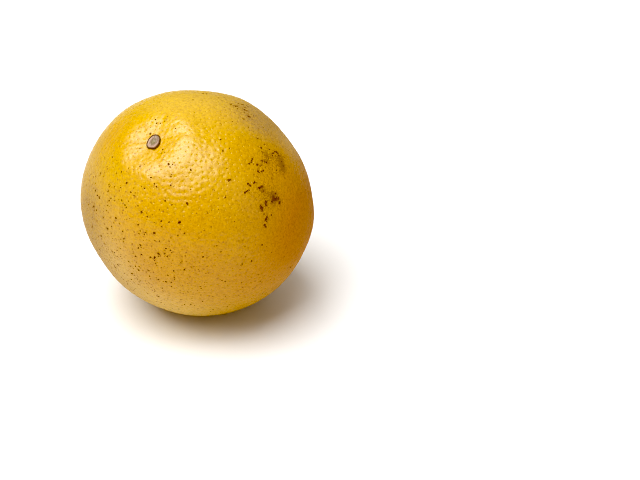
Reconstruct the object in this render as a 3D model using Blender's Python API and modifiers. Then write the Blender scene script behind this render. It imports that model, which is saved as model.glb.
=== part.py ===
# A whole grapefruit that rests on its own small flat spot, with the stem end leaning forward.
# The origin is the middle of the rest spot. +Z is up, and the front is at -Y.
import math

import bmesh
import bpy
from mathutils import Matrix, Vector

# Size of the fruit, in metres
WIDE = 0.1127          # across the equator, the widest way
NARROW = 0.1060        # across the equator, the narrowest way
TALL = 0.1102          # from stem end to blossom end, before either end sinks in
CENTRE = Vector((-0.0016, -0.0004, 0.05375))    # middle of the fruit above the rest spot

# How it lies, in degrees
LEAN = 31.7            # stem axis away from upright
LEAN_HEADING = 233.8   # where the stem end leans to: 0 is +X and 90 is +Y
TWIST = -3.1           # turn of the widest way about the stem axis

# Soft swells and flats: degrees round the stem axis, degrees above the equator,
# height in metres, half width in degrees
SWELLS = (
    (90, 19, 0.00070, 11),
    (116, 30, -0.00068, 10),
    (64, 1, -0.00062, 11),
    (242, 0, -0.00073, 14),
    (217, 17, 0.00031, 10),
    (26, -23, 0.00088, 12),
    (159, 36, 0.00050, 12),
    (335, -8, 0.00055, 17),
    (300, 28, -0.00050, 15),
    (8, 22, -0.00045, 13),
    (150, -30, -0.00050, 15),
    (285, -42, 0.00050, 14),
)

# Stem end
DIMPLE_DEPTH = 0.0018
DIMPLE_SPREAD = 11.0       # half width of the dimple, in degrees from the stem axis
FURROWS = 7                # shallow furrows that run out of the dimple
FURROW_DEPTH = 0.00030
FURROW_MIDDLE = 14.0       # degrees from the stem axis where a furrow is deepest
FURROW_SPREAD = 8.0

# Blossom end
SCAR_DEPTH = 0.0007
SCAR_SPREAD = 6.5
NUB_HEIGHT = 0.0004
NUB_SPREAD = 1.8

# Stem button, an oval disc with three blunt corners
BUTTON_LONG = 0.0081
BUTTON_SHORT = 0.0067
BUTTON_TURN = 106.0        # long way of the oval, in degrees round the stem axis
BUTTON_CORNERS = 3
BUTTON_CORNER_RISE = 0.04  # reach of a corner, as a part of the width
BUTTON_PROUD = 0.0008      # rim above the bottom of the dimple
BUTTON_SUNK = 0.0013       # underside below the bottom of the dimple
BUTTON_TAPER = 0.80        # width of the underside against the rim
RIM_WIDTH = 0.0006
CUP_DEPTH = 0.00025        # cut stem end below the rim
SEAT_GAP = 0.0003          # clearance of the socket round the button

# Fineness of the meshes
FRUIT_ROUND = 80
FRUIT_RINGS = 52
RING_GATHER = 0.25         # draws the rings towards both ends
BUTTON_ROUND = 40


def clear_scene():
    for thing in list(bpy.data.objects):
        bpy.data.objects.remove(thing, do_unlink=True)


def make_collection(name):
    group = bpy.data.collections.new(name)
    bpy.context.scene.collection.children.link(group)
    return group


def make_material(name, colour, roughness):
    material = bpy.data.materials.new(name)
    material.use_nodes = True
    shader = material.node_tree.nodes["Principled BSDF"]
    shader.inputs["Base Color"].default_value = (*colour, 1.0)
    shader.inputs["Roughness"].default_value = roughness
    shader.inputs["Metallic"].default_value = 0.0
    return material


def lean_matrix():
    """Place of the fruit's own frame, whose +Z is the stem axis."""
    lean = math.radians(LEAN)
    heading = math.radians(LEAN_HEADING)
    twist = math.radians(TWIST)
    stem = Vector((math.sin(lean) * math.cos(heading), math.sin(lean) * math.sin(heading), math.cos(lean)))
    level = Vector((0, 0, 1)).cross(stem).normalized()
    rising = stem.cross(level)
    wide = math.cos(twist) * level + math.sin(twist) * rising
    narrow = stem.cross(wide)
    turn = Matrix((wide, narrow, stem)).transposed()
    return Matrix.Translation(CENTRE) @ turn.to_4x4()


def bump(angle, spread):
    return math.exp(-((angle / spread) ** 2))


def direction(round_stem, above_equator):
    turn = math.radians(round_stem)
    rise = math.radians(above_equator)
    return Vector((math.cos(rise) * math.cos(turn), math.cos(rise) * math.sin(turn), math.sin(rise)))


def fruit_point(way):
    """Point of the peel in the direction of the unit vector, in the fruit's own frame."""
    from_stem = math.degrees(math.acos(max(-1.0, min(1.0, way.z))))
    turn = math.atan2(way.y, way.x)
    oval = math.hypot(way.x * 2 / WIDE, way.y * 2 / NARROW)
    radius = 1 / math.hypot(oval, way.z * 2 / TALL)
    for round_stem, above_equator, height, spread in SWELLS:
        away = math.degrees(way.angle(direction(round_stem, above_equator)))
        radius += height * bump(away, spread)
    radius -= DIMPLE_DEPTH * bump(from_stem, DIMPLE_SPREAD)
    furrow = (0.5 + 0.5 * math.cos(FURROWS * turn + math.sin(2 * turn))) ** 2
    radius -= FURROW_DEPTH * furrow * bump(from_stem - FURROW_MIDDLE, FURROW_SPREAD)
    from_blossom = 180 - from_stem
    radius -= SCAR_DEPTH * bump(from_blossom, SCAR_SPREAD)
    radius += NUB_HEIGHT * bump(from_blossom, NUB_SPREAD)
    return way * radius


def gather_rings(way):
    """The same direction, drawn towards the nearer end so that the rings lie closer there."""
    polar = math.acos(max(-1.0, min(1.0, way.z)))
    turn = math.atan2(way.y, way.x)
    polar -= RING_GATHER * math.sin(2 * polar)
    return Vector((math.sin(polar) * math.cos(turn), math.sin(polar) * math.sin(turn), math.cos(polar)))


def finish_mesh(name, shell, group, material):
    mesh = bpy.data.meshes.new(name)
    shell.to_mesh(mesh)
    shell.free()
    mesh.shade_smooth()
    mesh.set_sharp_from_angle(angle=math.radians(40))
    thing = bpy.data.objects.new(name, mesh)
    group.objects.link(thing)
    if material:
        mesh.materials.append(material)
    return thing


def make_fruit(group, place, material):
    shell = bmesh.new()
    bmesh.ops.create_uvsphere(shell, u_segments=FRUIT_ROUND, v_segments=FRUIT_RINGS, radius=1.0)
    for vert in shell.verts:
        vert.co = fruit_point(gather_rings(vert.co.normalized()))
    bmesh.ops.transform(shell, matrix=place, verts=shell.verts)

    # The rest spot is cut level through the origin and closed with one flat face.
    cut = bmesh.ops.bisect_plane(
        shell, geom=shell.verts[:] + shell.edges[:] + shell.faces[:],
        dist=1e-6, plane_co=(0, 0, 0), plane_no=(0, 0, -1), clear_outer=True)
    rim = [item for item in cut["geom_cut"] if isinstance(item, bmesh.types.BMEdge)]
    bmesh.ops.edgeloop_fill(shell, edges=rim)
    bmesh.ops.recalc_face_normals(shell, faces=shell.faces)
    return finish_mesh("fruit", shell, group, material)


def button_profile(gap):
    """Half outline of the button as a fraction of its width, with its height, from the top down."""
    rim = 1.0 + gap * 2 / BUTTON_SHORT
    foot = BUTTON_TAPER + gap * 2 / BUTTON_SHORT
    lip = RIM_WIDTH * 2 / BUTTON_SHORT
    edge = lip / 2
    low = -BUTTON_SUNK - gap
    if gap:
        top = DIMPLE_DEPTH * 2
        return [(0, top), (rim, top), (rim, 0), (foot, low), (0, low)]
    cup = BUTTON_PROUD - CUP_DEPTH
    return [
        (0, cup + CUP_DEPTH * 0.3), (0.30, cup), (rim - lip - edge, cup),
        (rim - lip, BUTTON_PROUD), (rim - edge, BUTTON_PROUD),
        (rim, BUTTON_PROUD - edge * BUTTON_SHORT / 2), (rim, 0), (foot, low), (0, low)]


def make_button(name, group, place, material, gap=0.0):
    """The button, or with a gap the cutter of its socket. Its profile is turned, then made oval."""
    outline = bpy.data.meshes.new(name + "_profile")
    points = [(x, 0, z) for x, z in button_profile(gap)]
    outline.from_pydata(points, [(i, i + 1) for i in range(len(points) - 1)], [])
    turned = bpy.data.objects.new(name + "_profile", outline)
    group.objects.link(turned)
    screw = turned.modifiers.new("turn", "SCREW")
    screw.axis = "Z"
    screw.steps = BUTTON_ROUND
    screw.render_steps = BUTTON_ROUND
    screw.use_merge_vertices = True
    screw.merge_threshold = 0.00001
    whole = bpy.data.meshes.new_from_object(turned.evaluated_get(bpy.context.evaluated_depsgraph_get()))
    bpy.data.objects.remove(turned, do_unlink=True)

    shell = bmesh.new()
    shell.from_mesh(whole)
    bpy.data.meshes.remove(whole)
    bmesh.ops.remove_doubles(shell, verts=shell.verts, dist=1e-6)
    for vert in shell.verts:
        turn = math.atan2(vert.co.y, vert.co.x)
        corner = 1 + BUTTON_CORNER_RISE * math.cos(BUTTON_CORNERS * turn)
        vert.co.x *= corner * BUTTON_LONG / 2
        vert.co.y *= corner * BUTTON_SHORT / 2
    seat = Matrix.Translation((0, 0, TALL / 2 - DIMPLE_DEPTH))
    oval = Matrix.Rotation(math.radians(BUTTON_TURN), 4, "Z")
    bmesh.ops.transform(shell, matrix=place @ seat @ oval, verts=shell.verts)
    bmesh.ops.recalc_face_normals(shell, faces=shell.faces)
    return finish_mesh(name, shell, group, material)


def cut_socket(fruit, cutter):
    cutter.hide_render = True
    cutter.display_type = "WIRE"
    cut = fruit.modifiers.new("socket", "BOOLEAN")
    cut.operation = "DIFFERENCE"
    cut.solver = "EXACT"
    cut.object = cutter


def build():
    clear_scene()
    parts = make_collection("grapefruit")
    cutters = make_collection("cutters")
    place = lean_matrix()
    fruit = make_fruit(parts, place, make_material("peel", (0.87, 0.53, 0.03), 0.40))
    make_button("stem_button", parts, place, make_material("dried_stem", (0.36, 0.24, 0.16), 0.75))
    cut_socket(fruit, make_button("button_socket", cutters, place, None, gap=SEAT_GAP))


build()
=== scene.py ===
# Looks of a whole grapefruit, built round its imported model.
import math
import random

import bmesh
import bpy
import numpy as np
from mathutils import Matrix, Vector, kdtree, noise
from mathutils.bvhtree import BVHTree


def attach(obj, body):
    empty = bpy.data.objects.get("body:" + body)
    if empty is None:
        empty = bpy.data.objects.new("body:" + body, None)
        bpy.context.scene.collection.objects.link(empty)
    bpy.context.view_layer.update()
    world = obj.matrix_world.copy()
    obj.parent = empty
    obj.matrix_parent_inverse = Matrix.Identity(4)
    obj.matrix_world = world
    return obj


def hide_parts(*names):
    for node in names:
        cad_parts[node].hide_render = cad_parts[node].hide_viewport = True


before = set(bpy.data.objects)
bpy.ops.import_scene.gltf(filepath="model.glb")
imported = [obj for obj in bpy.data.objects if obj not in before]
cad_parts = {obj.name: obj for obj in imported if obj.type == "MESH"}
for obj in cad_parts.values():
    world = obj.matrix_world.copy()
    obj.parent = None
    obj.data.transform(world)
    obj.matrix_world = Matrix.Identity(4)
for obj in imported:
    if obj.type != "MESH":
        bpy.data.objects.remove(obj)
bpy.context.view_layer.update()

mm = 0.001
body = "root"

# The fruit as it was modelled. Lengths in millimetres, angles in degrees.
fruit = {
    "wide": 112.7,                      # across the equator, the widest way
    "narrow": 106.0,
    "tall": 110.2,                      # stem end to blossom end, before they sink in
    "centre": (-1.6, -0.4, 53.75),      # above the middle of the rest spot
    "lean": 31.7,                       # stem axis away from upright
    "leanHeading": 233.8,               # 0 is +X and 90 is +Y
    "twist": -3.1,
    "dimple": (1.8, 2.0, 15.0),         # depth, and where its wall starts and ends
    "shoulder": (0.8, 18.0, 6.0),       # swelling outside the dimple: height, middle, half width
    "furrows": (7, 0.30, 14.0, 8.0),    # count, depth, angle from the stem, half width
    "scar": (0.7, 6.5),                 # hollow at the blossom end: depth, half width
    "nub": (0.4, 1.8),                  # and the small point in its middle
    # round the stem axis, above the equator, height, half width
    "swells": [
        (90, 19, 0.70, 11), (116, 30, -0.68, 10), (64, 1, -0.62, 11), (242, 0, -0.73, 14),
        (217, 17, 0.31, 10), (26, -23, 0.88, 12), (159, 36, 0.50, 12), (335, -8, 0.55, 17),
        (300, 28, -0.50, 15), (8, 22, -0.45, 13), (150, -30, -0.50, 15), (285, -42, 0.50, 14),
    ],
}

# Camera, at the place the photograph was taken from.
camera = {
    "lens": 100,
    "sensor": 36,
    "rise": 32,                         # degrees above the table
    "distance": 847,                    # to the middle of the fruit
    "photo": (640, 480),
    "fruitPixel": (197.1, 202.8),       # where the middle of the fruit is drawn
    "clip": (0.01, 50),                 # nearest and farthest that it sees, in metres
}


def leanMatrix():
    lean = math.radians(fruit["lean"])
    heading = math.radians(fruit["leanHeading"])
    twist = math.radians(fruit["twist"])
    flat = Vector((math.cos(heading), math.sin(heading), 0))
    stem = math.sin(lean) * flat + math.cos(lean) * Vector((0, 0, 1))
    level = Vector((0, 0, 1)).cross(stem).normalized()
    rising = stem.cross(level)
    wide = math.cos(twist) * level + math.sin(twist) * rising
    turn = Matrix((wide, stem.cross(wide), stem)).transposed()
    return Matrix.Translation(Vector(fruit["centre"]) * mm) @ turn.to_4x4()


place = leanMatrix()
middle = place.translation.copy()
stemWay = place.col[2].to_3d()


def wayAt(turn, rise):      # unit direction from two angles in degrees
    turn, rise = math.radians(turn), math.radians(rise)
    return Vector((math.cos(rise) * math.cos(turn), math.cos(rise) * math.sin(turn), math.sin(rise)))


def hump(angles, spread):
    return np.exp(-((angles / spread) ** 2))


def anglesTo(ways, way):    # degrees between each row and one direction
    return np.degrees(np.arccos(np.clip(ways @ np.array(way), -1, 1)))


def fruitRadii(ways):
    # how far the peel lies from the middle, for directions in the fruit's own frame
    fromStem = anglesTo(ways, (0, 0, 1))
    turn = np.arctan2(ways[:, 1], ways[:, 0])
    halves = np.array([fruit["wide"], fruit["narrow"], fruit["tall"]]) / 2
    radii = 1 / np.linalg.norm(ways / halves, axis=1)
    for roundStem, aboveEquator, height, spread in fruit["swells"]:
        radii += height * hump(anglesTo(ways, wayAt(roundStem, aboveEquator)), spread)
    depth, inner, outer = fruit["dimple"]
    wall = np.clip((fromStem - inner) / (outer - inner), 0, 1)
    radii -= depth * (1 - wall * wall * (3 - 2 * wall))
    height, reach, spread = fruit["shoulder"]
    radii += height * hump(fromStem - reach, spread)
    count, depth, reach, spread = fruit["furrows"]
    furrow = (0.5 + 0.5 * np.cos(count * turn + np.sin(2 * turn))) ** 2
    radii -= depth * furrow * hump(fromStem - reach, spread)
    depth, spread = fruit["scar"]
    radii -= depth * hump(180 - fromStem, spread)
    height, spread = fruit["nub"]
    return (radii + height * hump(180 - fromStem, spread)) * mm


def makeObject(name, shell, material):
    mesh = bpy.data.meshes.new(name)
    shell.to_mesh(mesh)
    shell.free()
    mesh.shade_smooth()
    mesh.materials.append(material)
    thing = bpy.data.objects.new(name, mesh)
    bpy.context.scene.collection.objects.link(thing)
    return thing


def setAttribute(mesh, name, values):
    layer = mesh.attributes.get(name) or mesh.attributes.new(name, "FLOAT", "POINT")
    layer.data.foreach_set("value", np.asarray(values, np.float32))


# Node helpers. Each one adds a node to the tree and gives back its result.

def startMaterial(name):
    material = bpy.data.materials.new(name)
    material.use_nodes = True
    tree = material.node_tree
    return material, tree, tree.nodes["Principled BSDF"]


def addNode(tree, kind, **settings):
    node = tree.nodes.new(kind)
    for key, value in settings.items():
        setattr(node, key, value)
    return node


def addPoint(tree):
    return addNode(tree, "ShaderNodeTexCoord").outputs["Object"]


def addAttribute(tree, name, output="Fac"):
    return addNode(tree, "ShaderNodeAttribute", attribute_name=name).outputs[output]


def addNoise(tree, point, scale, detail, rough=0.55):
    node = addNode(tree, "ShaderNodeTexNoise")
    node.inputs["Scale"].default_value = scale
    node.inputs["Detail"].default_value = detail
    node.inputs["Roughness"].default_value = rough
    tree.links.new(point, node.inputs["Vector"])
    return node.outputs["Fac"]


def addRange(tree, value, low, high, toLow=0.0, toHigh=1.0, smooth=True):
    node = addNode(tree, "ShaderNodeMapRange", interpolation_type="SMOOTHSTEP" if smooth else "LINEAR")
    tree.links.new(value, node.inputs["Value"])
    node.inputs["From Min"].default_value = low
    node.inputs["From Max"].default_value = high
    node.inputs["To Min"].default_value = toLow
    node.inputs["To Max"].default_value = toHigh
    return node.outputs["Result"]


def addMath(tree, operation, *values):
    node = addNode(tree, "ShaderNodeMath", operation=operation)
    for socket, value in zip(node.inputs, values):
        if isinstance(value, (int, float)):
            socket.default_value = value
        else:
            tree.links.new(value, socket)
    return node.outputs["Value"]


def addLength(tree, vector):
    node = addNode(tree, "ShaderNodeVectorMath", operation="LENGTH")
    tree.links.new(vector, node.inputs[0])
    return node.outputs["Value"]


def addStretch(tree, vector, factors):
    node = addNode(tree, "ShaderNodeVectorMath", operation="MULTIPLY")
    tree.links.new(vector, node.inputs[0])
    node.inputs[1].default_value = factors
    return node.outputs["Vector"]


def addMix(tree, share, first, second, blend="MIX"):
    node = addNode(tree, "ShaderNodeMix", data_type="RGBA", blend_type=blend)
    tree.links.new(share, node.inputs[0])
    for socket, colour in ((node.inputs[6], first), (node.inputs[7], second)):
        if isinstance(colour, bpy.types.NodeSocket):
            tree.links.new(colour, socket)
        else:
            socket.default_value = (*colour, 1.0)
    return node.outputs[2]


def addRamp(tree, value, stops):
    node = addNode(tree, "ShaderNodeValToRGB")
    tree.links.new(value, node.inputs["Fac"])
    elements = node.color_ramp.elements
    for element, (position, tint) in ((elements[0], stops[0]), (elements[1], stops[-1])):
        element.position = position
        element.color = (*tint, 1)
    for position, tint in stops[1:-1]:
        elements.new(position).color = (*tint, 1)
    return node.outputs["Color"]


def addBump(tree, shader, height, strength, distance):      # distance in millimetres
    node = addNode(tree, "ShaderNodeBump")
    node.inputs["Strength"].default_value = strength
    node.inputs["Distance"].default_value = distance * mm
    tree.links.new(height, node.inputs["Height"])
    tree.links.new(node.outputs["Normal"], shader.inputs["Normal"])


# Peel. Lengths in millimetres, angles in degrees.

peel = {
    "seed": 11,
    "ballSteps": 3,                     # fineness of the ball that the peel starts from
    "cuts": 11,
    "uneven": 0.27,                     # how far a gland strays from the even spacing
    "glandShare": 0.80,                 # how many of the free places hold a big oil gland
    "glandDepth": (0.10, 0.19),
    "bowl": 0.42,                       # share of that depth half way out to the next place
    "glandRadius": 0.62,                # of the small round pit in the middle of a gland
    "glandRoom": 0.94,                  # most of the way to the nearest point that the pit may fill
    "poreShare": 0.45,                  # small pores among the glands
    "poreDepth": (0.02, 0.06),
    "plainByTheStem": 6.0,              # glands fade out this near to the stem
    "lumps": [(1.6, 0.105), (3.4, 0.09), (19.0, 0.20)],     # width and height of the unevenness
    "sunk": 0.5,                        # share of that height that the whole peel sinks by
    "ridges": (0.10, 8.0, 9.0, 5.0),    # wrinkles by the stem: height, count, middle, half width
    "ridgeLength": 8,
}


def chooseGlands(shell, draw):
    pit = shell.verts.layers.float.new("pit")
    depth = shell.verts.layers.float.new("depth")
    order = shell.verts[:]
    draw.shuffle(order)
    for vert in order:
        near = [edge.other_vert(vert) for edge in vert.link_edges]
        if draw.random() < peel["glandShare"] and all(other[pit] == 0 for other in near):
            vert[pit] = 1.0
            vert[depth] = draw.uniform(*peel["glandDepth"])
    for vert in order:
        if vert[pit] == 0 and draw.random() < peel["poreShare"]:
            vert[depth] = draw.uniform(*peel["poreDepth"])
    return pit, depth


def markGlands(shell, pit, depth):
    # every point round a gland keeps its way from the gland's middle, so that the material
    # can draw a round pit
    wayOut = shell.verts.layers.float_vector.new("glandWay")
    for vert in shell.verts:
        if vert[pit] == 0:
            continue
        ring = [edge.other_vert(vert) for edge in vert.link_edges]
        steps = [(other.co - vert.co) * fruit["narrow"] / 2 for other in ring]
        radius = min(peel["glandRadius"], peel["glandRoom"] * min(step.length for step in steps))
        for other, step in zip(ring, steps):
            other[wayOut] = step / radius
            other[depth] = vert[depth] * peel["bowl"]


def growPeel(material):
    print("peel: growing the ball")
    draw = random.Random(peel["seed"])
    shell = bmesh.new()
    bmesh.ops.create_icosphere(shell, subdivisions=peel["ballSteps"], radius=1.0)
    bmesh.ops.subdivide_edges(shell, edges=shell.edges[:], cuts=peel["cuts"], use_grid_fill=True)
    for vert in shell.verts:
        vert.co.normalize()
    spacing = sum(edge.calc_length() for edge in shell.edges) / len(shell.edges)
    for vert in shell.verts:
        stray = Vector((draw.uniform(-1, 1), draw.uniform(-1, 1), draw.uniform(-1, 1)))
        vert.co = (vert.co + stray * spacing * peel["uneven"]).normalized()
    pit, depth = chooseGlands(shell, draw)
    chosen = len(shell.verts)
    bmesh.ops.subdivide_edges(shell, edges=shell.edges[:], cuts=1, use_grid_fill=True)
    for vert in shell.verts[:][chosen:]:    # the walls between the glands stand at full height
        vert[pit] = 0.0
        vert[depth] = 0.0
    markGlands(shell, pit, depth)
    thing = makeObject("grapefruit_peel", shell, material)
    shapePeel(thing.data)
    return thing


def shapePeel(mesh):
    print("peel: shaping", len(mesh.vertices), "points")
    count = len(mesh.vertices)
    ways = np.empty(count * 3)
    mesh.vertices.foreach_get("co", ways)
    ways = ways.reshape(-1, 3)
    ways /= np.linalg.norm(ways, axis=1)[:, None]
    depths = np.empty(count)
    mesh.attributes["depth"].data.foreach_get("value", depths)
    radii = fruitRadii(ways)
    fromStem = anglesTo(ways, (0, 0, 1))
    for width, height in peel["lumps"]:
        step = 1 / (width * mm)
        rise = [noise.noise(Vector(way) * radius * step) for way, radius in zip(ways, radii)]
        radii += np.array(rise) * height * mm - peel["sunk"] * height * mm
    radii -= depths * mm * (1 - hump(fromStem, peel["plainByTheStem"]))
    height, rays, reach, spread = peel["ridges"]
    turn = np.arctan2(ways[:, 1], ways[:, 0])
    outward = fromStem / peel["ridgeLength"]
    spots = np.stack([np.cos(turn) * rays, np.sin(turn) * rays, outward], axis=1)
    ridge = np.array([noise.noise(Vector(spot)) for spot in spots])
    radii += ridge * height * mm * hump(fromStem - reach, spread)
    leaning = np.array(place.to_3x3())
    points = (ways * radii[:, None]) @ leaning.T + np.array(middle)
    points[:, 2] = np.maximum(points[:, 2], 0.0)        # the rest spot is flat
    mesh.vertices.foreach_set("co", points.ravel())
    mesh.update()


# Marks on the peel. A mark is a pixel of the photograph, across and down, with its size in
# millimetres.

marks = {
    "seed": 5,
    "proud": 0.035,                     # height of a speck
    "ragged": (0.55, 1.3),              # how uneven its outline is, and how finely
    "above": 4,                         # height over the peel that its points are dropped from
    "stretch": (1.0, 1.25),
    "tone": (0.0, 0.35),                # 0 is the darkest
    "smallPaler": 0.3,                  # added to the tone of a speck for each millimetre under one
    # how much wider a speck of each group is made than its dark core
    "wider": {
        "byTheStem": 1.12, "onTheFace": 1.12, "onTheLeft": 1.12, "atTheTop": 1.12, "onTheRight": 1.26,
    },
    "byTheStem": [
        (150.4, 133.9, 0.8), (160.6, 123.2, 0.6), (156.7, 123.2, 0.7), (164.7, 121.2, 0.5),
        (167.4, 116.6, 0.4), (166.3, 119.0, 0.3), (175.3, 128.5, 0.5), (162.6, 149.6, 0.7),
        (164.6, 152.1, 0.5), (161.4, 153.3, 0.4), (168.7, 164.1, 1.0), (172.6, 164.6, 0.5),
        (169.9, 166.8, 0.5), (139.9, 148.7, 0.5), (140.0, 166.3, 0.6), (116.4, 173.2, 0.6),
        (100.8, 173.0, 0.8),
    ],
    "onTheFace": [
        (187.1, 203.6, 1.1), (190.8, 169.7, 0.8), (171.0, 176.7, 0.6), (171.7, 174.4, 0.4),
        (170.7, 185.3, 0.7), (126.5, 182.9, 0.9), (130.8, 192.2, 0.7), (134.0, 195.6, 0.6),
        (135.3, 193.0, 0.4), (144.5, 188.3, 0.6), (172.0, 204.8, 0.6), (137.9, 205.7, 0.6),
        (165.7, 198.0, 0.4), (220.5, 139.6, 0.7), (222.9, 151.1, 0.8), (225.1, 197.6, 0.6),
        (207.5, 213.0, 0.5), (179.4, 222.4, 1.2), (154.3, 232.9, 1.0), (184.5, 233.2, 0.7),
        (138.3, 224.7, 0.7), (145.3, 232.5, 0.6), (144.3, 234.4, 0.5), (140.2, 230.9, 0.6),
        (161.2, 221.2, 0.7), (161.5, 226.3, 0.5), (159.6, 241.1, 0.6), (242.3, 264.1, 0.6),
        (211.0, 227.0, 0.5), (199.0, 238.0, 0.5), (184.5, 269.6, 0.8), (221.0, 251.5, 0.5),
        (174.3, 277.5, 0.6), (180.7, 262.8, 0.5), (184.8, 206.1, 0.3),
    ],
    "onTheLeft": [
        (109.2, 200.5, 0.8), (108.3, 191.2, 0.6), (109.4, 186.7, 0.5), (114.5, 186.7, 0.5),
        (93.9, 206.7, 0.9), (115.8, 218.1, 0.9), (113.8, 222.8, 0.6), (111.5, 226.3, 0.5),
        (107.2, 228.5, 0.9), (103.2, 217.1, 0.6), (88.6, 204.5, 0.5), (141.6, 212.1, 0.9),
        (123.9, 238.9, 0.7), (123.3, 241.8, 0.5), (158.5, 253.8, 1.1), (154.6, 257.4, 0.9),
        (150.4, 257.2, 0.8), (141.6, 254.5, 0.8), (135.4, 256.3, 0.8), (167.3, 256.4, 0.7),
        (164.8, 253.3, 0.6), (155.5, 263.3, 0.5), (156.7, 265.2, 0.5), (138.8, 270.2, 0.8),
        (132.1, 273.7, 0.9), (148.8, 270.3, 0.6), (158.3, 279.6, 0.7), (165.9, 281.6, 0.8),
        (171.4, 282.3, 0.6), (137.8, 278.9, 0.5), (158.5, 296.3, 0.9), (162.2, 288.6, 0.5),
        (147.8, 293.4, 0.6), (130.4, 266.0, 0.6), (115.3, 267.4, 0.7), (95.5, 190.5, 0.7),
        (97.0, 221.0, 0.5), (101.5, 236.0, 0.6), (92.5, 226.5, 0.5),
    ],
    "atTheTop": [
        (235.5, 106.3, 1.0), (237.4, 106.0, 0.7), (238.7, 103.6, 0.7), (231.1, 104.6, 0.7),
        (242.0, 104.5, 0.5), (243.6, 105.2, 0.5), (245.0, 107.6, 0.6), (247.5, 106.2, 0.9),
        (244.8, 110.1, 0.7), (246.6, 110.3, 0.6), (248.8, 116.5, 1.0), (243.9, 119.1, 0.6),
        (252.2, 119.1, 0.4), (232.6, 121.8, 0.5), (203.0, 93.4, 0.9), (206.5, 93.9, 0.7),
        (193.0, 99.5, 0.5), (218.5, 98.2, 0.6), (222.0, 100.2, 0.5),
    ],
    "onTheRight": [
        (261.2, 148.0, 0.8), (261.8, 151.8, 0.4), (257.7, 138.5, 0.5), (264.5, 144.5, 0.3),
        (273.0, 153.2, 0.8), (274.6, 151.8, 0.6), (276.4, 152.0, 0.9), (277.7, 153.2, 0.7),
        (272.6, 155.6, 0.6), (278.6, 155.4, 0.5), (252.2, 159.0, 0.7), (251.8, 160.8, 0.7),
        (251.0, 162.4, 0.6), (253.5, 164.1, 0.5), (249.2, 163.6, 0.7), (257.2, 164.8, 0.9),
        (260.1, 166.2, 0.4), (261.2, 165.0, 0.4), (262.2, 160.7, 0.8), (265.0, 161.7, 0.7),
        (266.6, 162.6, 0.8), (258.0, 171.2, 0.9), (259.1, 172.6, 0.6), (261.2, 171.4, 0.6),
        (263.2, 170.8, 0.8), (257.2, 176.7, 0.4), (254.6, 182.2, 0.8), (253.7, 183.2, 0.6),
        (256.6, 182.8, 0.4), (247.8, 183.8, 0.8), (249.4, 185.0, 0.7), (250.7, 185.9, 0.7),
        (259.2, 188.0, 1.0), (260.6, 187.4, 0.7), (261.9, 186.4, 0.8), (245.0, 192.8, 0.8),
        (246.4, 191.6, 0.7), (247.6, 190.6, 0.6), (249.0, 189.9, 0.5), (263.6, 191.2, 0.5),
        (275.5, 193.6, 0.6), (264.2, 214.3, 0.4), (267.0, 217.2, 0.8), (266.2, 219.2, 0.9),
        (265.2, 220.2, 0.6), (266.6, 221.4, 0.6), (264.6, 225.0, 0.9), (265.6, 226.6, 0.8),
        (281.5, 161.5, 0.5), (283.4, 166.0, 0.5),
    ],
    "scabs": [
        (273.3, 196.6, 1.1), (273.6, 199.6, 1.7), (276.6, 199.2, 1.6), (278.4, 198.2, 1.1),
        (279.3, 202.6, 1.2), (260.9, 207.0, 1.3), (262.0, 209.0, 1.6), (265.7, 202.2, 1.1),
        (265.9, 204.8, 1.2), (228.8, 180.2, 1.2), (230.4, 179.4, 0.8),
    ],
    # hair lines, drawn with flakes
    "lines": [
        [(110.8, 249.1), (112.4, 252.9), (115.3, 255.8), (119.4, 258.0)],
        [(132.6, 291.2), (134.0, 289.8), (135.4, 288.2)],
        [(138.0, 266.0), (139.6, 266.8), (140.5, 268.4)],
    ],
    "flakes": (5, 0.40, 0.40),          # how many along each step, their size and tone
}

# A scab is a rough crust with a few dark grains. Sizes and distances are shares of its own size.
scab = {
    "stretch": (1.0, 1.3),
    "tone": 0.62,
    "grains": 6,
    "grainAway": (0.15, 0.75),
    "grainSize": (0.28, 0.55),
    "grainStretch": (1.0, 1.4),
    "grainTone": (0.0, 0.4),
}

# Small specks all over, thicker where specks gather.
crumbs = {
    "count": 690,
    "anywhere": 0.045,                  # how thick they lie outside every field
    "chance": 0.9,
    "size": (0.28, 0.70, 2.6),          # the least, what chance adds to it, and how rarely much
    "stretch": (1.0, 1.3),
    "tone": (0.3, 1.0),
    "palest": 1.15,                     # less the size, and times the tone, so small ones are paler
    "lowest": 1.0,                      # none lies nearer to the table
}

# Where specks and stains gather: heading and rise of the place as seen from the fruit's middle,
# reach in degrees, and how thick they lie.
speckFields = [
    (243, 4, 30, 1.00), (218, 0, 24, 0.85), (254, -18, 22, 0.60), (214, 22, 16, 0.55),
    (315, 28, 13, 0.65), (335, 36, 9, 0.80), (4, 63, 11, 0.85), (228, 40, 14, 0.30),
    (284, -14, 20, 0.35), (60, 20, 22, 0.70), (95, -10, 18, 0.60), (150, 30, 16, 0.45),
    (30, -22, 15, 0.40), (180, -12, 20, 0.45),
]
stainFields = [
    (337, 37, 3.0, 0.85), (334, 33, 2.4, 0.80), (329, 43, 2.4, 0.56), (313, 30, 2.2, 0.45),
    (318, 25, 4.0, 0.45), (326, 38, 7.0, 0.34), (314, 24, 9.0, 0.26), (8, 66, 8.0, 0.30),
    (350, 52, 12.0, 0.20), (70, 24, 6.0, 0.70), (48, 12, 9.0, 0.35), (108, -14, 8.0, 0.45),
    (152, 32, 6.0, 0.40), (215, -10, 18.0, 0.24), (205, 14, 12.0, 0.20),
]
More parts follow.
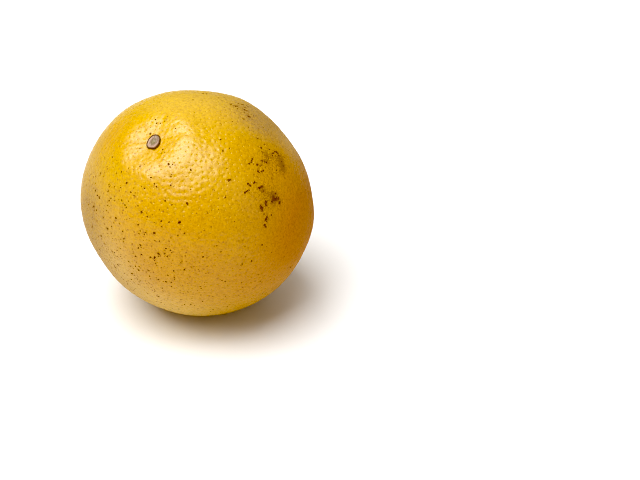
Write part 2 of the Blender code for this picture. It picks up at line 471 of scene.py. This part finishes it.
# Regions of other skin and of painted light and shade, given in the same way.
skinAndLightFields = {
    # dull, scuffed skin, and painted shade that darkens the left side
    "dullAndShade": [
        (206, -14, 22, 0.75), (228, -26, 18, 0.62), (203, 13, 19, 0.85), (9, 52, 15, 0.90),
        (350, 57, 12, 0.60), (70, 72, 16, 0.40), (120, 8, 24, 0.50), (25, 58, 9, 0.40),
        (0, 38, 8, 0.25), (184, 36, 11, 0.24), (306, 20, 12, 0.22),
    ],
    # a thin pale haze of painted sheen: the glow round the highlight and light reflected near the edge
    # and underside, painted into the colour
    "paintedSheen": [
        (227, -14, 16, 0.80), (246, -28, 13, 0.45), (262, -47, 17, 0.62), (299, 34, 13, 0.28),
        (236, 33, 12, 0.22), (359, 36, 8, 0.60),
    ],
    # deeper orange, partly the skin's own colour; on the right side it is painted orange light and shade
    # from a neighbouring fruit, and on the underside it tints the bounce into the shadow below
    "deepOrangeAndBounce": [
        (335, 2, 32, 1.00), (292, -18, 34, 0.36), (247, -9, 25, 0.34), (18, -6, 36, 0.60),
        (265, -86, 17, 1.00), (190, 48, 13, 0.22), (266, 5, 17, 0.12),
    ],
    # clearer yellow, partly the skin's own colour; on the underside and lower left it is painted bounce
    # light from the floor
    "pale": [(125, 68, 46, 1.00), (110, 30, 40, 0.40), (262, -56, 33, 1.00), (232, -30, 18, 0.60)],
}
softEdges = {
    "halo": (0.5, 0.7, 0.48),           # rust round a mark: millimetres, what its size adds, strength
    "freckle": 0.05,                    # how thick freckles lie outside every field
    "stemWarm": 9.0,                    # degrees round the stem over which the colour turns a warmer orange
    "blossom": 2.6,                     # degrees of the brown spot at the blossom end
}
farOut = 0.09                           # metres from the middle of the fruit, clear of its peel


def skinOf(thing):
    return BVHTree.FromPolygons([vert.co for vert in thing.data.vertices],
                                [face.vertices for face in thing.data.polygons])


def cameraFrame():
    rise = math.radians(camera["rise"])
    across = Vector((1, 0, 0))
    ahead = Vector((0, math.cos(rise), -math.sin(rise)))
    upward = across.cross(ahead)
    pixels = camera["lens"] / camera["sensor"] * camera["photo"][0]
    distance = camera["distance"] * mm
    left = (camera["photo"][0] / 2 - camera["fruitPixel"][0]) / pixels * distance
    above = (camera["photo"][1] / 2 - camera["fruitPixel"][1]) / pixels * distance
    eye = middle - ahead * distance + across * left - upward * above
    return eye, across, upward, ahead, pixels


def spotAtPixel(skin, pixel):       # the point of the peel that the photograph shows at a pixel
    eye, across, upward, ahead, pixels = cameraFrame()
    right = (pixel[0] - camera["photo"][0] / 2) / pixels
    up = (camera["photo"][1] / 2 - pixel[1]) / pixels
    return skin.ray_cast(eye, (ahead + across * right + upward * up).normalized())[0]


def spotTowards(skin, way):
    return skin.ray_cast(middle + way * farOut, -way)[0]


def pressSpeck(shell, tone, skin, spot, size, stretch, turn, shade, draw, steps=1):
    # a thin lens that follows the peel under it, finer with more steps
    way = (spot - middle).normalized()
    along = way.orthogonal().normalized()
    along.rotate(Matrix.Rotation(turn, 3, way))
    across = way.cross(along)
    ball = bmesh.ops.create_icosphere(shell, subdivisions=steps, radius=1.0)
    shift = Vector((draw.uniform(0, 99), draw.uniform(0, 99), 0))
    uneven, fineness = marks["ragged"]
    for vert in ball["verts"]:
        x, y, z = vert.co
        ragged = 1 + uneven * noise.noise(Vector((x, y, 0)) * fineness + shift)
        side = spot + (along * x * stretch + across * y / stretch) * size * mm / 2 * ragged
        out = (side - middle).normalized()
        hit = skin.ray_cast(side + out * marks["above"] * mm, -out)[0]
        vert.co = (hit or side) + out * z * marks["proud"] * mm
        vert[tone] = shade


def pressScab(shell, tone, skin, spot, size, draw):
    pressSpeck(shell, tone, skin, spot, size, draw.uniform(*scab["stretch"]),
               draw.uniform(0, math.pi), scab["tone"], draw, steps=3)
    way = (spot - middle).normalized()
    along = way.orthogonal().normalized()
    for _ in range(scab["grains"]):
        side = along.copy()
        side.rotate(Matrix.Rotation(draw.uniform(0, 2 * math.pi), 3, way))
        away = side * size * mm * draw.uniform(*scab["grainAway"])
        near = spotTowards(skin, (spot + away - middle).normalized())
        pressSpeck(shell, tone, skin, near, size * draw.uniform(*scab["grainSize"]),
                   draw.uniform(*scab["grainStretch"]), draw.uniform(0, math.pi),
                   draw.uniform(*scab["grainTone"]), draw, steps=2)


def fieldOf(ways, fields):      # sum of soft round fields over many directions
    total = np.zeros(len(ways))
    for heading, rise, reach, share in fields:
        total += share * hump(anglesTo(ways, wayAt(heading, rise)), reach)
    return total


def scatterCrumbs(shell, tone, skin, draw):
    least, more, rarity = crumbs["size"]
    placed = 0
    while placed < crumbs["count"]:
        way = Vector((draw.gauss(0, 1), draw.gauss(0, 1), draw.gauss(0, 1))).normalized()
        thick = crumbs["anywhere"] + fieldOf(np.array([way]), speckFields)[0]
        if draw.random() > thick * crumbs["chance"]:
            continue
        spot = spotTowards(skin, way)
        if spot.z < crumbs["lowest"] * mm:
            continue
        size = least + more * draw.random() ** rarity
        pressSpeck(shell, tone, skin, spot, size, draw.uniform(*crumbs["stretch"]),
                   draw.uniform(0, math.pi),
                   draw.uniform(*crumbs["tone"]) * (crumbs["palest"] - size), draw)
        placed += 1


def scatterSpecks(skin, material):
    print("specks: pressing them on the peel")
    draw = random.Random(marks["seed"])
    shell = bmesh.new()
    tone = shell.verts.layers.float.new("tone")
    big = []                            # place and size of every mark in the lists
    for group, wider in marks["wider"].items():
        for across, down, size in marks[group]:
            spot = spotAtPixel(skin, (across, down))
            if spot:
                big.append((spot, size))
                pressSpeck(shell, tone, skin, spot, size * wider, draw.uniform(*marks["stretch"]),
                           draw.uniform(0, math.pi),
                           draw.uniform(*marks["tone"]) + marks["smallPaler"] * (1 - size),
                           draw, steps=2)
    for across, down, size in marks["scabs"]:
        spot = spotAtPixel(skin, (across, down))
        if spot:
            big.append((spot, size))
            pressScab(shell, tone, skin, spot, size, draw)
    flakes, size, shade = marks["flakes"]
    for line in marks["lines"]:
        spots = [spotAtPixel(skin, pixel) for pixel in line]
        for first, second in zip(spots, spots[1:]):
            for index in range(flakes):
                spot = first.lerp(second, (index + 0.5) / flakes)
                pressSpeck(shell, tone, skin, spot, size, 1.0, 0.0, shade, draw)
    scatterCrumbs(shell, tone, skin, draw)
    return makeObject("rust_specks", shell, material), big


def stainAndShadePeel(mesh, big):
    # soft values that the peel's material reads: rust, freckles, the regions of other skin and the
    # regions of painted light and shade
    print("peel: staining")
    points = np.empty(len(mesh.vertices) * 3)
    mesh.vertices.foreach_get("co", points)
    ways = points.reshape(-1, 3) - np.array(middle)
    ways /= np.linalg.norm(ways, axis=1)[:, None]
    rust = fieldOf(ways, stainFields)
    least, more, strength = softEdges["halo"]
    nearest = kdtree.KDTree(len(big))
    for index, (spot, _) in enumerate(big):
        nearest.insert(spot, index)
    nearest.balance()
    for index, vert in enumerate(mesh.vertices):
        _, which, away = nearest.find(vert.co)
        reach = (least + big[which][1] * more) * mm
        if away < reach * 2:
            rust[index] += strength * math.exp(-((away / reach) ** 2))
    freckle = softEdges["freckle"] + fieldOf(ways, speckFields)
    fromStem = anglesTo(ways, stemWay)
    setAttribute(mesh, "rust", np.clip(rust, 0, 1))
    setAttribute(mesh, "freckle", np.clip(freckle, 0, 1))
    for name, fields in skinAndLightFields.items():
        setAttribute(mesh, name, np.clip(fieldOf(ways, fields), 0, 1))
    setAttribute(mesh, "stemWarm", hump(fromStem, softEdges["stemWarm"]))
    setAttribute(mesh, "blossom", hump(180 - fromStem, softEdges["blossom"]))


# Finishes. A noise is its scale, detail and, where given, roughness. A range is from, to, and the
# two values it is mapped to.

peelLook = {
    "noises": {
        "broad": (26, 2), "patch": (120, 3), "mottle": (620, 3, 0.6), "pebble": (780, 1),
        "grit": (1250, 2, 0.6), "grain": (1500, 3, 0.6), "fine": (2400, 2),
    },
    "gold": (0.525, 0.298, 0.001),
    "deep": (0.505, 0.272, 0.001),
    "deepRange": (0.40, 0.62),
    "green": (0.490, 0.295, 0.002),
    "greenRange": (0.50, 0.75, 0, 0.40),
    # colour of a region, and the most of it
    "regions": {
        # clearer yellow, and painted bounce light on the underside
        "pale": ((0.590, 0.375, 0.003), 0.70),
        # painted orange light and shade on the right side, deeper orange skin elsewhere
        "deepOrangeAndBounce": ((0.460, 0.150, 0.001), 0.80),
        "stemWarm": ((0.520, 0.278, 0.001), 0.5),
    },
    # darker grain: what the colour is multiplied by, and the range of its noise
    "darker": {
        "mottle": ((0.72, 0.62, 0.80), (0.45, 0.70, 0, 0.42)),
        "grit": ((0.72, 0.64, 0.80), (0.42, 0.68, 0, 0.62)),
        "pebble": ((0.80, 0.72, 0.90), (0.52, 0.75, 0, 0.48)),
    },
    "dullAndShade": (0.270, 0.168, 0.068),
    "dullAndShadeRange": (0.3, 0.7, 0.38, 0.80),
    # colour of the painted sheen
    "paintedSheen": (0.680, 0.460, 0.170),
    "paintedSheenMost": 0.42,
    "pit": (0.30, 0.202, 0.001),
    "pitEdge": (0.30, 1.0, 1.0, 0.0),
    "pitRange": (0.35, 0.65, 0.14, 0.30),
    "glandEdge": 0.02,                  # a point belongs to a gland above this
    "freckle": (0.20, 0.070, 0.008),
    "freckleScale": 520,
    "freckleMost": 0.62,
    "freckleEdge": (0.12, 0.32, 1.0, 0.0),
    "freckleRange": (0, 1, 0.30, 0.95),
    "stain": (0.200, 0.080, 0.004),
    "stainGrain": (0.34, 0.66, -0.42, 0.34),
    "stainRange": (0.20, 0.72, 0, 0.85),
    "blossom": (0.16, 0.08, 0.03),
    # waxy and dry grains side by side: a clear highlight with a wide soft glow round it
    "roughRange": (0.42, 0.60, 0.285, 0.43),
    "rougher": {"pit": 0.20, "dullAndShade": 0.35, "deepOrangeAndBounce": 0.50, "stain": 0.25, "freckle": 0.25},
    "refraction": 1.50,
    "specular": 0.68,
    # relief in millimetres
    "pitHeight": -0.10,
    "heights": {"mottle": 0.034, "pebble": 0.048, "fine": 0.010},
    "bump": (1.0, 1.0),                 # strength, and distance in millimetres
}
speckLook = {
    "grain": (1900, 3),
    "dark": (0.050, 0.011, 0.003),
    "light": (0.21, 0.085, 0.010),
    "dusty": (0.13, 0.045, 0.006),
    "dustyRange": (0.40, 0.7, 0, 0.5),
    "roughRange": (0.3, 0.7, 0.55, 0.8),
    "specular": 0.06,
    "bump": (0.5, 0.1),
}


def freckleShape(tree, point):
    look = peelLook
    cells = addNode(tree, "ShaderNodeTexVoronoi")
    cells.inputs["Scale"].default_value = look["freckleScale"]
    tree.links.new(point, cells.inputs["Vector"])
    chance = addNode(tree, "ShaderNodeSeparateColor")
    tree.links.new(cells.outputs["Color"], chance.inputs["Color"])
    thick = addMath(tree, "MULTIPLY", addAttribute(tree, "freckle"), look["freckleMost"])
    kept = addMath(tree, "LESS_THAN", chance.outputs["Red"], thick)
    dot = addRange(tree, cells.outputs["Distance"], *look["freckleEdge"])
    faint = addRange(tree, chance.outputs["Green"], *look["freckleRange"], smooth=False)
    return addMath(tree, "MULTIPLY", addMath(tree, "MULTIPLY", kept, dot), faint)


def peelMaterial():
    look = peelLook
    material, tree, shader = startMaterial("grapefruit_peel")
    point = addPoint(tree)
    noises = {name: addNoise(tree, point, *values) for name, values in look["noises"].items()}

    colour = addMix(tree, addRange(tree, noises["broad"], *look["deepRange"]), look["gold"], look["deep"])
    colour = addMix(tree, addRange(tree, noises["patch"], *look["greenRange"]), colour, look["green"])
    for name, (tint, most) in look["regions"].items():
        colour = addMix(tree, addMath(tree, "MULTIPLY", addAttribute(tree, name), most), colour, tint)
    for name, (tint, span) in look["darker"].items():
        colour = addMix(tree, addRange(tree, noises[name], *span), colour, tint, "MULTIPLY")
    # dull skin and painted shade: duller, browner and darker, most of all on the left side
    broken = addRange(tree, noises["mottle"], *look["dullAndShadeRange"], smooth=False)
    dullAndShade = addMath(tree, "MULTIPLY", addAttribute(tree, "dullAndShade"), broken)
    colour = addMix(tree, dullAndShade, colour, look["dullAndShade"])
    # painted sheen: a pale haze laid into the colour where the highlight's glow and reflected light fall
    paintedSheen = addMath(tree, "MULTIPLY", addAttribute(tree, "paintedSheen"), look["paintedSheenMost"])
    colour = addMix(tree, paintedSheen, colour, look["paintedSheen"])

    # a round pit in every oil gland
    fromPit = addLength(tree, addAttribute(tree, "glandWay", "Vector"))
    inGland = addMath(tree, "GREATER_THAN", addAttribute(tree, "pit"), look["glandEdge"])
    pit = addMath(tree, "MULTIPLY", addRange(tree, fromPit, *look["pitEdge"]), inGland)
    # the pits are painted darker and greener: partly the glands' own colour, partly painted shade in the
    # hollows
    pitShade = addMath(tree, "MULTIPLY", pit, addRange(tree, noises["patch"], *look["pitRange"]))
    colour = addMix(tree, pitShade, colour, look["pit"])

    # small freckles, thicker where the specks gather
    freckle = freckleShape(tree, point)
    colour = addMix(tree, freckle, colour, look["freckle"])

    # rust stains, broken into grains
    broken = addRange(tree, noises["grain"], *look["stainGrain"], smooth=False)
    ragged = addMath(tree, "ADD", addAttribute(tree, "rust"), broken)
    stain = addRange(tree, ragged, *look["stainRange"])
    colour = addMix(tree, stain, colour, look["stain"])
    colour = addMix(tree, addAttribute(tree, "blossom"), colour, look["blossom"])
    tree.links.new(colour, shader.inputs["Base Color"])

    rougher = {"pit": pit, "dullAndShade": addAttribute(tree, "dullAndShade"), "deepOrangeAndBounce": addAttribute(tree, "deepOrangeAndBounce"),
               "stain": stain, "freckle": freckle}
    rough = addRange(tree, noises["fine"], *look["roughRange"])
    for name, most in look["rougher"].items():
        rough = addMath(tree, "MULTIPLY_ADD", rougher[name], most, rough)
    tree.links.new(rough, shader.inputs["Roughness"])
    shader.inputs["IOR"].default_value = look["refraction"]
    shader.inputs["Specular IOR Level"].default_value = look["specular"]

    height = addMath(tree, "MULTIPLY", pit, look["pitHeight"])
    for name, most in look["heights"].items():
        height = addMath(tree, "MULTIPLY_ADD", noises[name], most, height)
    addBump(tree, shader, height, *look["bump"])
    return material


def speckMaterial():
    look = speckLook
    material, tree, shader = startMaterial("rust_specks")
    grain = addNoise(tree, addPoint(tree), *look["grain"])
    colour = addMix(tree, addAttribute(tree, "tone"), look["dark"], look["light"])
    colour = addMix(tree, addRange(tree, grain, *look["dustyRange"]), colour, look["dusty"])
    tree.links.new(colour, shader.inputs["Base Color"])
    tree.links.new(addRange(tree, grain, *look["roughRange"]), shader.inputs["Roughness"])
    shader.inputs["Specular IOR Level"].default_value = look["specular"]
    addBump(tree, shader, grain, *look["bump"])
    return material


# Stem button: the dark rim of the calyx and the pale cut end of the stem inside it. Each is turned
# from a profile: share of the half width, and height above the bottom of the dimple.

button = {
    "seed": 3,
    "long": 8.1,
    "short": 6.7,
    "turn": 106,                        # long way of the oval, round the stem axis
    "girth": 0.94,
    "corner": 0.03,                     # reach of the three blunt corners
    "square": 2.4,                      # how blunt the four sides are: 2 is an oval
    "ragged": 0.05,                     # how torn its outline is
    "tears": (2.2, 0.3),                # how finely, round it and up its side
    "ripples": 5.0,                     # how finely its top is ruffled
    "sharp": 50,                        # a steeper fold than this stays a hard edge
    "steps": 120,
    "weld": 1e-4,                       # points of the turned profile nearer than this become one
}
rimLook = {
    "profile": [
        (0.865, -0.9), (0.865, 0.42), (0.885, 0.66), (0.92, 0.78), (0.96, 0.78), (0.99, 0.62),
        (1.0, 0.35), (0.995, -0.1), (0.94, -0.6), (0.90, -0.9),
    ],
    "closed": True,
    "ruffle": 0.10,
    "grain": (6, 4, 0.65),
    "grainRange": (0.35, 0.68),
    "dark": (0.050, 0.020, 0.006),
    "light": (0.150, 0.066, 0.018),
    "roughness": 0.78,
    "bump": (0.6, 0.2),
}
stubLook = {
    "profile": [
        (0.0, 0.46), (0.10, 0.47), (0.20, 0.49), (0.30, 0.46), (0.40, 0.53), (0.52, 0.60),
        (0.64, 0.65), (0.76, 0.66), (0.84, 0.60), (0.89, 0.42), (0.90, -0.8), (0.0, -0.8),
    ],
    "closed": False,
    "ruffle": 0.05,
    # colours from the middle outwards
    "stops": [
        (0.0, (0.190, 0.152, 0.066)), (0.30, (0.130, 0.100, 0.044)), (0.46, (0.190, 0.125, 0.080)),
        (0.64, (0.390, 0.250, 0.195)), (0.80, (0.320, 0.185, 0.130)), (0.93, (0.080, 0.030, 0.012)),
    ],
    "grain": (5, 4, 0.6),
    "grainRange": (0.3, 0.7, -0.10, 0.10),      # how far the grain shifts those colours
    "fibres": (2.2, 10.0, 0.5),                 # drawn out along the oval
    "streak": (1.0, 3, 0.6),
    "streakTint": (0.42, 0.36, 0.27),
    "streakRange": (0.50, 0.62, 0, 0.45),
    "speckle": (16, 2),
    "speckleTint": (0.16, 0.11, 0.06),
    "speckleRange": (0.52, 0.72, 0, 0.45),
    "weathered": (0.140, 0.092, 0.066),         # one side is darker
    "weatherSlant": -0.6,
    "weatherRange": (-0.1, 0.8, 0, 0.80),
    "roughness": 0.7,
    "bump": (0.5, 0.25),
}


def buttonSeat():
    seat = Matrix.Translation((0, 0, (fruit["tall"] / 2 - fruit["dimple"][0]) * mm))
    return place @ seat @ Matrix.Rotation(math.radians(button["turn"]), 4, "Z")


def turnButton(name, look, material):
    draw = random.Random(button["seed"])
    shift = Vector((draw.uniform(0, 50), draw.uniform(0, 50), draw.uniform(0, 50)))
    shell = bmesh.new()
    ring = [shell.verts.new((x, 0, z)) for x, z in look["profile"]]
    pairs = list(zip(ring, ring[1:])) + ([(ring[-1], ring[0])] if look["closed"] else [])
    edges = [shell.edges.new(pair) for pair in pairs]
    bmesh.ops.spin(shell, geom=ring + edges, axis=(0, 0, 1), cent=(0, 0, 0), angle=2 * math.pi,
                   steps=button["steps"], use_merge=True)
    bmesh.ops.remove_doubles(shell, verts=shell.verts, dist=button["weld"])
    power = button["square"]
    roundIt, upIt = button["tears"]
    for vert in shell.verts:
        x, y, z = vert.co
        turn = math.atan2(y, x)
        blunt = (abs(math.cos(turn)) ** power + abs(math.sin(turn)) ** power) ** (-1 / power)
        edge = Vector((math.cos(turn) * roundIt, math.sin(turn) * roundIt, z * upIt))
        torn = noise.noise(edge + shift) * button["ragged"]
        reach = button["girth"] * blunt + button["corner"] * math.cos(3 * turn) + torn
        vert.co.x = x * reach * button["long"] / 2 * mm
        vert.co.y = y * reach * button["short"] / 2 * mm
        top = noise.noise(Vector((x, y, 0)) * button["ripples"] + shift) * look["ruffle"]
        vert.co.z = (z + (top if z > 0 else 0)) * mm
    bmesh.ops.recalc_face_normals(shell, faces=shell.faces[:])
    bmesh.ops.transform(shell, matrix=buttonSeat(), verts=shell.verts)
    thing = makeObject(name, shell, material)
    thing.data.set_sharp_from_angle(angle=math.radians(button["sharp"]))
    return thing


def addButtonPoint(tree):
    # the button's own frame in millimetres, with the oval made round
    seat = buttonSeat()
    mapping = addNode(tree, "ShaderNodeMapping", vector_type="TEXTURE")
    mapping.inputs["Location"].default_value = seat.translation
    mapping.inputs["Rotation"].default_value = seat.to_euler()
    mapping.inputs["Scale"].default_value = (button["long"] / 2 * mm, button["short"] / 2 * mm, mm)
    tree.links.new(addPoint(tree), mapping.inputs["Vector"])
    return mapping.outputs["Vector"]


def rimMaterial():
    look = rimLook
    material, tree, shader = startMaterial("dried_calyx")
    grain = addNoise(tree, addButtonPoint(tree), *look["grain"])
    colour = addMix(tree, addRange(tree, grain, *look["grainRange"]), look["dark"], look["light"])
    tree.links.new(colour, shader.inputs["Base Color"])
    shader.inputs["Roughness"].default_value = look["roughness"]
    addBump(tree, shader, grain, *look["bump"])
    return material


def stubMaterial():
    look = stubLook
    material, tree, shader = startMaterial("cut_stem")
    point = addButtonPoint(tree)
    outward = addLength(tree, addStretch(tree, point, (1, 1, 0)))
    grain = addNoise(tree, point, *look["grain"])
    speckle = addNoise(tree, point, *look["speckle"])
    streak = addNoise(tree, addStretch(tree, point, look["fibres"]), *look["streak"])
    reach = addMath(tree, "ADD", outward, addRange(tree, grain, *look["grainRange"]))
    colour = addRamp(tree, reach, look["stops"])
    parted = addNode(tree, "ShaderNodeSeparateXYZ")
    tree.links.new(point, parted.inputs["Vector"])
    older = addMath(tree, "MULTIPLY_ADD", parted.outputs["Y"], look["weatherSlant"], parted.outputs["X"])
    colour = addMix(tree, addRange(tree, older, *look["weatherRange"]), colour, look["weathered"])
    colour = addMix(tree, addRange(tree, streak, *look["streakRange"]), colour, look["streakTint"])
    colour = addMix(tree, addRange(tree, speckle, *look["speckleRange"]), colour, look["speckleTint"])
    tree.links.new(colour, shader.inputs["Base Color"])
    shader.inputs["Roughness"].default_value = look["roughness"]
    addBump(tree, shader, addMath(tree, "ADD", streak, speckle), *look["bump"])
    return material


# Studio. Lengths in metres.

studio = {
    "floorSize": 8.0,
    "floorTint": (0.86, 0.855, 0.845),
    "floorRoughness": 0.6,
    "skyTint": (1.0, 0.955, 0.91),
    "skyStrength": 0.22,
    # from the fruit towards the light, how far, size, power, colour, and whether the peel mirrors it
    "lamps": {
        "softbox": ((-0.28, -0.20, 0.93), 1.60, 1.60, 51.2, (1.0, 1.0, 1.0), True),
        "backlight": ((0.00, 0.75, 0.65), 1.60, 1.60, 5.2, (1.0, 1.0, 1.0), True),
        "fill": ((-0.05, -0.94, 0.21), 1.60, 2.20, 8.4, (1.0, 0.95, 0.88), False),
    },
    "blackLevel": (0.003, 0.027, 0.050),
}


def setCamera():
    eye, across, upward, ahead, _ = cameraFrame()
    data = bpy.data.cameras.new("camera")
    data.lens = camera["lens"]
    data.sensor_width = camera["sensor"]
    data.clip_start, data.clip_end = camera["clip"]
    thing = bpy.data.objects.new("camera", data)
    bpy.context.scene.collection.objects.link(thing)
    turn = Matrix((across, upward, -ahead)).transposed()
    thing.matrix_world = Matrix.Translation(eye) @ turn.to_4x4()
    bpy.context.scene.camera = thing


def setStudio():
    print("studio: floor, lamps and sky")
    shell = bmesh.new()
    bmesh.ops.create_grid(shell, x_segments=1, y_segments=1, size=studio["floorSize"] / 2)
    material, _, shader = startMaterial("pale_floor")
    shader.inputs["Base Color"].default_value = (*studio["floorTint"], 1)
    shader.inputs["Roughness"].default_value = studio["floorRoughness"]
    floor = makeObject("floor", shell, material)

    world = bpy.data.worlds.new("studio")
    world.use_nodes = True
    sky = world.node_tree.nodes["Background"]
    sky.inputs["Color"].default_value = (*studio["skyTint"], 1)
    sky.inputs["Strength"].default_value = studio["skyStrength"]
    bpy.context.scene.world = world

    for name, (way, away, size, power, tint, mirrored) in studio["lamps"].items():
        light = bpy.data.lights.new(name, "AREA")
        light.size = size
        light.energy = power
        light.color = tint
        lamp = bpy.data.objects.new(name, light)
        lamp.visible_glossy = mirrored
        bpy.context.scene.collection.objects.link(lamp)
        towards = Vector(way).normalized()
        lamp.location = middle + towards * away
        lamp.rotation_euler = towards.to_track_quat("Z", "Y").to_euler()


def setColours():
    settings = bpy.context.scene.view_settings
    settings.view_transform = "Standard"
    settings.use_curve_mapping = True
    settings.curve_mapping.black_level = studio["blackLevel"]
    settings.curve_mapping.update()
    bpy.context.scene.cycles.filter_width = 1.0
    bpy.context.scene.cycles.denoising_prefilter = "NONE"      # keeps the pits crisp


def dress(thing, slot, *nodes):
    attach(thing, body)
    if nodes:
        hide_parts(*nodes)


setCamera()
setColours()
peelPiece = growPeel(peelMaterial())
peelSkin = skinOf(peelPiece)
specks, bigMarks = scatterSpecks(peelSkin, speckMaterial())
stainAndShadePeel(peelPiece.data, bigMarks)
print("stem button")
rim = turnButton("calyx_rim", rimLook, rimMaterial())
stub = turnButton("cut_stem", stubLook, stubMaterial())
dress(peelPiece, "peel", "fruit")
dress(specks, "peel")
dress(rim, "dried_stem", "stem_button")
dress(stub, "dried_stem")
setStudio()
